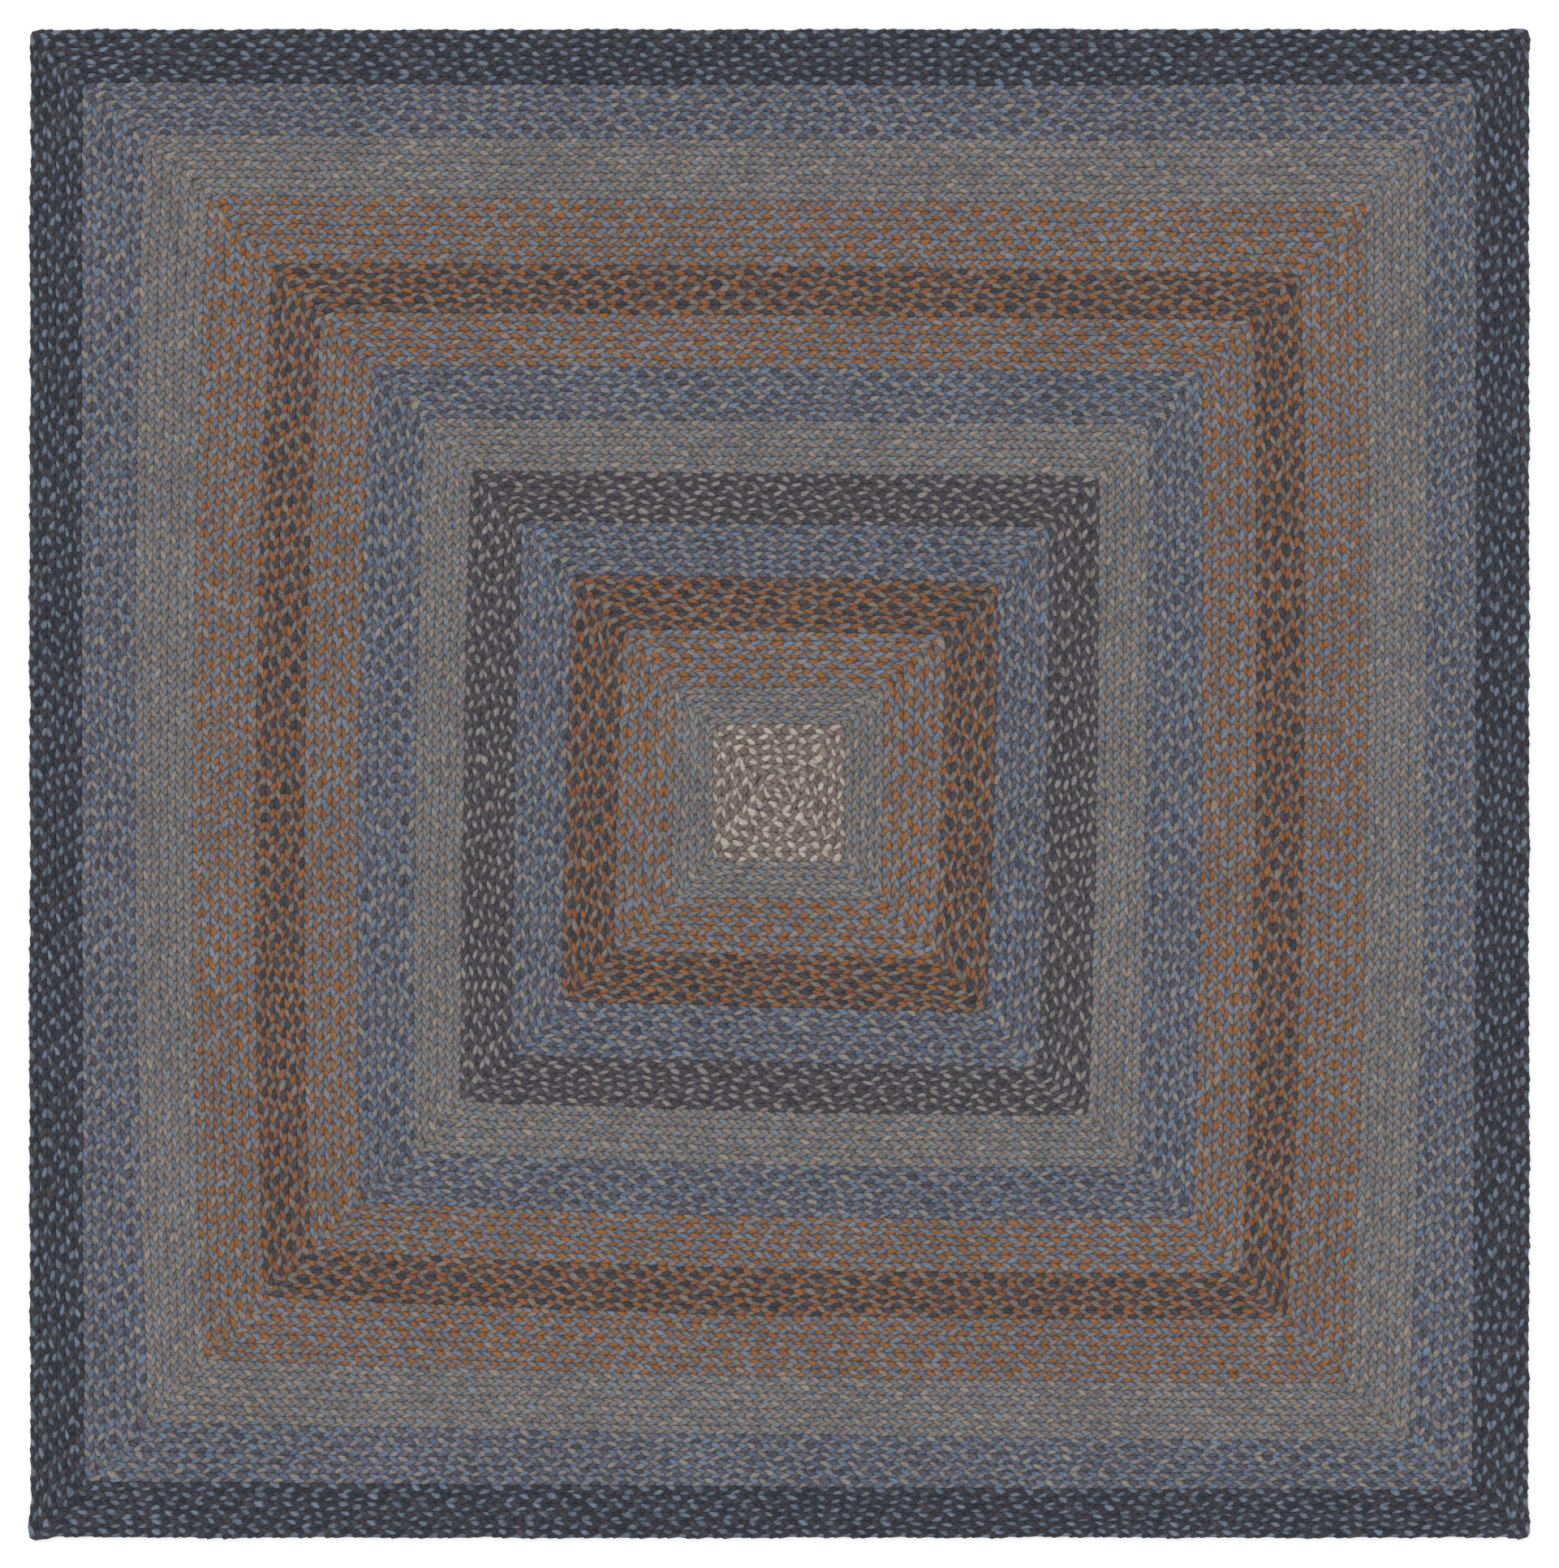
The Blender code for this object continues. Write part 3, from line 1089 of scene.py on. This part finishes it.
@dataclass
class CentreBlock(Band):
    """The block in the middle, whose rounds coil out from the eye."""

    def lay(self, after: Band | None) -> Lay:
        """Its rounds are drawn in to the eye."""
        edge = self.outline.points()
        return CoilLay(edge, edge)

    def flat(self, width: float, mean: float) -> Pair:
        """Its size laid out: the block's own."""
        sides = self.outline
        return (sides.left.reach + sides.right.reach) * MM, (sides.back.reach + sides.front.reach) * MM


# Each band's name, braid, rounds, four sides with their reach, turn and bulge, and pitch of stitches in mm.
BANDS = (
    Band("band_01_border", Braid.BORDER, 6,
         Outline(Side(912.5, 0, 1), Side(918, 0, 1), Side(912.5, 0, 1), Side(918, 0, 1),
                 ears_mm=(4.0, 1.0, 2.5, 2.5)), 11.1),
    Band("band_02_denim", Braid.DENIM, 6,
         Outline(Side(849, -3, 2), Side(850, 1, -3), Side(848, 4, 3), Side(856, 11, 2)), 11.3),
    Band("band_03_taupe", Braid.TAUPE, 7,
         Outline(Side(784, -5, 13), Side(784, 6, -3), Side(786, 20, 10), Side(792, 23, 3)), 11.5),
    Band("band_04_rust", Braid.RUST, 7,
         Outline(Side(714, 6, 17), Side(709, 9, -3), Side(715, 19, 11), Side(722, 29, 7)), 11.2),
    Band("band_05_navy", Braid.NAVY, 5,
         Outline(Side(637, 10, 16), Side(629, 12, 3), Side(638, 17, 12), Side(647, 26, 10)), 12.0),
    Band("band_06_rust", Braid.RUST, 6,
         Outline(Side(578, 13, 14), Side(570, 10, 2), Side(580, 14, 9), Side(591, 28, 10)), 12.0),
    Band("band_07_denim", Braid.DENIM, 6,
         Outline(Side(512, 13, 9), Side(505, 8, 0), Side(514, 12, 5), Side(527, 20, 8)), 11.7),
    Band("band_08_taupe", Braid.TAUPE, 6,
         Outline(Side(443, 12, 5), Side(441, 7, 0), Side(446, 13, 3), Side(464, 19, 7)), 11.4),
    Band("band_09_charcoal", Braid.CHARCOAL, 6,
         Outline(Side(384, 13, 2), Side(377, 7, 0), Side(386, 13, 4), Side(399, 17, 4)), 11.3),
    Band("band_10_denim", Braid.DENIM, 6,
         Outline(Side(322, 14, 2), Side(315.5, 9, -1), Side(325, 14, 3), Side(339, 15, 1)), 11.7),
    Band("band_11_navy", Braid.NAVY, 6,
         Outline(Side(259, 14, 1), Side(250, 10, 0), Side(261, 14, 2), Side(272, 14, 0)), 12.4),
    Band("band_12_rust", Braid.RUST, 6,
         Outline(Side(197, 12, 2), Side(185, 7, 0), Side(197.5, 12, 1), Side(209, 11, 0)), 12.6),
    Band("band_13_taupe", Braid.TAUPE, 5,
         Outline(Side(129, 5, 0), Side(117, 2, 0), Side(126, 3, 0), Side(140, 2, 0)), 12.3),
    CentreBlock("band_14_centre", Braid.CENTRE, 7,
                Outline(Side(81, 1, 0), Side(72, 0, 0), Side(80, 1, 0), Side(95, 0, 0)), 10.6),
)


# ---- studio ----


@dataclass(frozen=True)
class Studio:
    """A plain white floor, soft light from all round and a camera straight above the rug."""

    floor_side: float = 80.0
    floor_drop: float = 0.0004  # below the rug's underside
    camera_distance: float = 6.0
    face_height: float = 0.005  # where that distance ends
    view_side: float = 1.9082  # what the image's long side takes in
    view_centre: Pair = (0.0001, -0.0005)
    sensor_mm: float = 36.0

    def floor(self) -> None:
        """A large matte sheet of studio paper."""
        half = self.floor_side / 2
        mesh = bpy.data.meshes.new("floor")
        corners = ((-half, -half), (half, -half), (half, half), (-half, half))
        mesh.from_pydata([(x, y, -self.floor_drop) for x, y in corners], [], [(0, 1, 2, 3)])
        paint = Paint("studio_paper")
        shader = paint.node("ShaderNodeBsdfPrincipled", {}, {
            "Base Color": (0.5, 0.5, 0.5, 1),
            "Roughness": 0.9,
            "Specular IOR Level": 0.1,
            "Emission Color": (1, 1, 1, 1),
            "Emission Strength": 0.56,
        })
        paint.node("ShaderNodeOutputMaterial", {}, {"Surface": shader.outputs[0]})
        mesh.materials.append(paint.material)
        thing = bpy.data.objects.new("floor", mesh)
        bpy.context.scene.collection.objects.link(thing)

    def lamp(self, name: str, strength: float, spread_deg: float, tilt_deg: float, turn_deg: float) -> None:
        """A far, soft lamp.

        Args:
            name: its name.
            strength: its light on a surface that faces it, in watts a square metre.
            spread_deg: how wide it looks from the rug.
            tilt_deg: how far it stands from straight above.
            turn_deg: where it stands, anticlockwise from the front.
        """
        data = bpy.data.lights.new(name, "SUN")
        data.energy = strength
        data.angle = math.radians(spread_deg)
        thing = bpy.data.objects.new(name, data)
        thing.rotation_euler = (math.radians(tilt_deg), 0, math.radians(turn_deg))
        bpy.context.scene.collection.objects.link(thing)

    def world(self, strength: float) -> None:
        """Even white light from everywhere.

        Args:
            strength: how bright it is.
        """
        world = bpy.data.worlds.new("studio")
        world.use_nodes = True
        sky = world.node_tree.nodes["Background"]
        sky.inputs["Color"].default_value = (1, 1, 1, 1)
        sky.inputs["Strength"].default_value = strength
        bpy.context.scene.world = world

    def camera(self) -> None:
        """A camera that looks straight down, from far enough away that nothing leans."""
        data = bpy.data.cameras.new("camera")
        data.type = "PERSP"
        data.sensor_width = self.sensor_mm
        data.lens = self.sensor_mm * self.camera_distance / self.view_side
        data.clip_end = 100
        thing = bpy.data.objects.new("camera", data)
        thing.location = (*self.view_centre, self.face_height + self.camera_distance)
        bpy.context.scene.collection.objects.link(thing)
        bpy.context.scene.camera = thing

    def build(self) -> None:
        """Set up the whole studio."""
        self.floor()
        self.lamp("key", strength=1.3, spread_deg=50, tilt_deg=38, turn_deg=215)
        self.lamp("fill", strength=0.5, spread_deg=70, tilt_deg=45, turn_deg=35)
        self.world(strength=0.6)
        self.camera()
        bpy.context.scene.view_settings.view_transform = "Standard"


def main() -> None:
    """Build the rug from the rim to the centre, then the studio."""
    logging.basicConfig(level=logging.INFO, format="%(message)s")
    row = 0
    for band, after in zip(BANDS, (*BANDS[1:], None)):
        band.build(row, after)
        row += band.rounds
    Studio().build()


if __name__ == "__main__":
    main()
